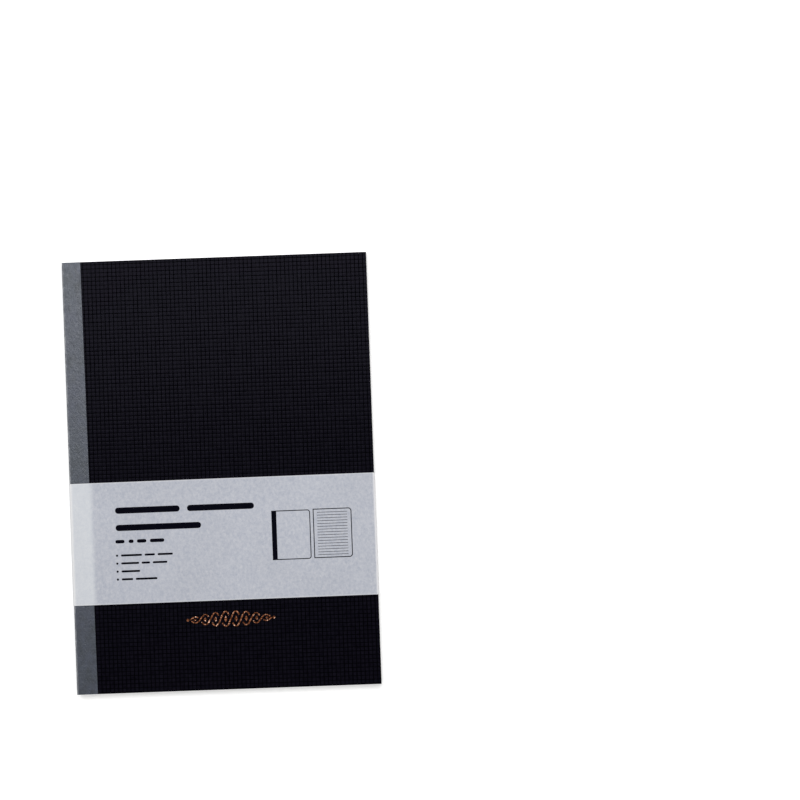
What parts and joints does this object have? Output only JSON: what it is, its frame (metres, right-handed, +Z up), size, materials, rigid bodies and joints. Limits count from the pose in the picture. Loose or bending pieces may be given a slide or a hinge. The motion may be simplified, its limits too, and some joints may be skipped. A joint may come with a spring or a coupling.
{
  "type": "pad-bound notebook",
  "caption": "A5 pad-bound writing notebook with black card covers, a grey taped spine and a slide-off paper belly band; lies flat.",
  "frame": {"origin": "under the middle of the notebook, on the surface it lies on", "axes": "+X from the spine to the fore edge, +Y from the foot to the head, +Z up out of the front cover"},
  "size_m": [0.1486, 0.21, 0.0114],
  "materials": {
    "pages": "uncoated writing paper, warm white",
    "cover_card": "black card with a fine embossed square grid, satin",
    "tape": "grey binding tape, matte",
    "glue": "dried padding adhesive",
    "band_paper": "translucent grey-white paper, matte"
  },
  "bodies": {
    "notebook": {"page_block": "pages", "front_cover": "cover_card", "back_cover": "cover_card", "spine_tape": "tape", "spine_glue": "glue"},
    "band": {"belly_band": "band_paper"}
  },
  "joints": [
    {"name": "band_slide", "type": "slide", "parent": "notebook", "child": "band", "axis": [0, 1, 0], "range_m": [-0.104, 0.168]}
  ]
}
